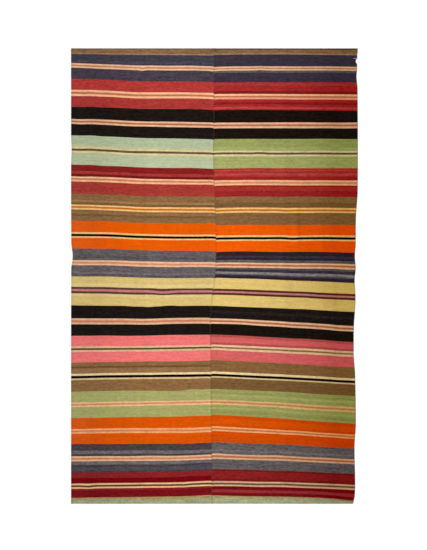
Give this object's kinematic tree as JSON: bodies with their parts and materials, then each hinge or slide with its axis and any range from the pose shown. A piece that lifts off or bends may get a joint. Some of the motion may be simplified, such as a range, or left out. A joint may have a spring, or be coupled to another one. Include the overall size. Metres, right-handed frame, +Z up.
{
  "type": "kilim",
  "caption": "Flat-woven striped kilim rug of narrow loom panels laced edge to edge, hemmed at both ends, lying flat with soft fold creases.",
  "frame": {"origin": "on the floor under the middle of the rug's box", "axes": "+Z up from the floor, +Y along the rug to its top end, +X across it to the worn selvedge on the right"},
  "size_m": [1.7, 2.7, 0.0066],
  "materials": {
    "left_wool": "matt weft-faced wool in wide stripes of many colours",
    "right_wool": "matt weft-faced wool in wide stripes of many colours, a shade darker"
  },
  "bodies": {
    "root": {"left_panel": "left_wool", "right_panel": "right_wool"}
  },
  "joints": []
}
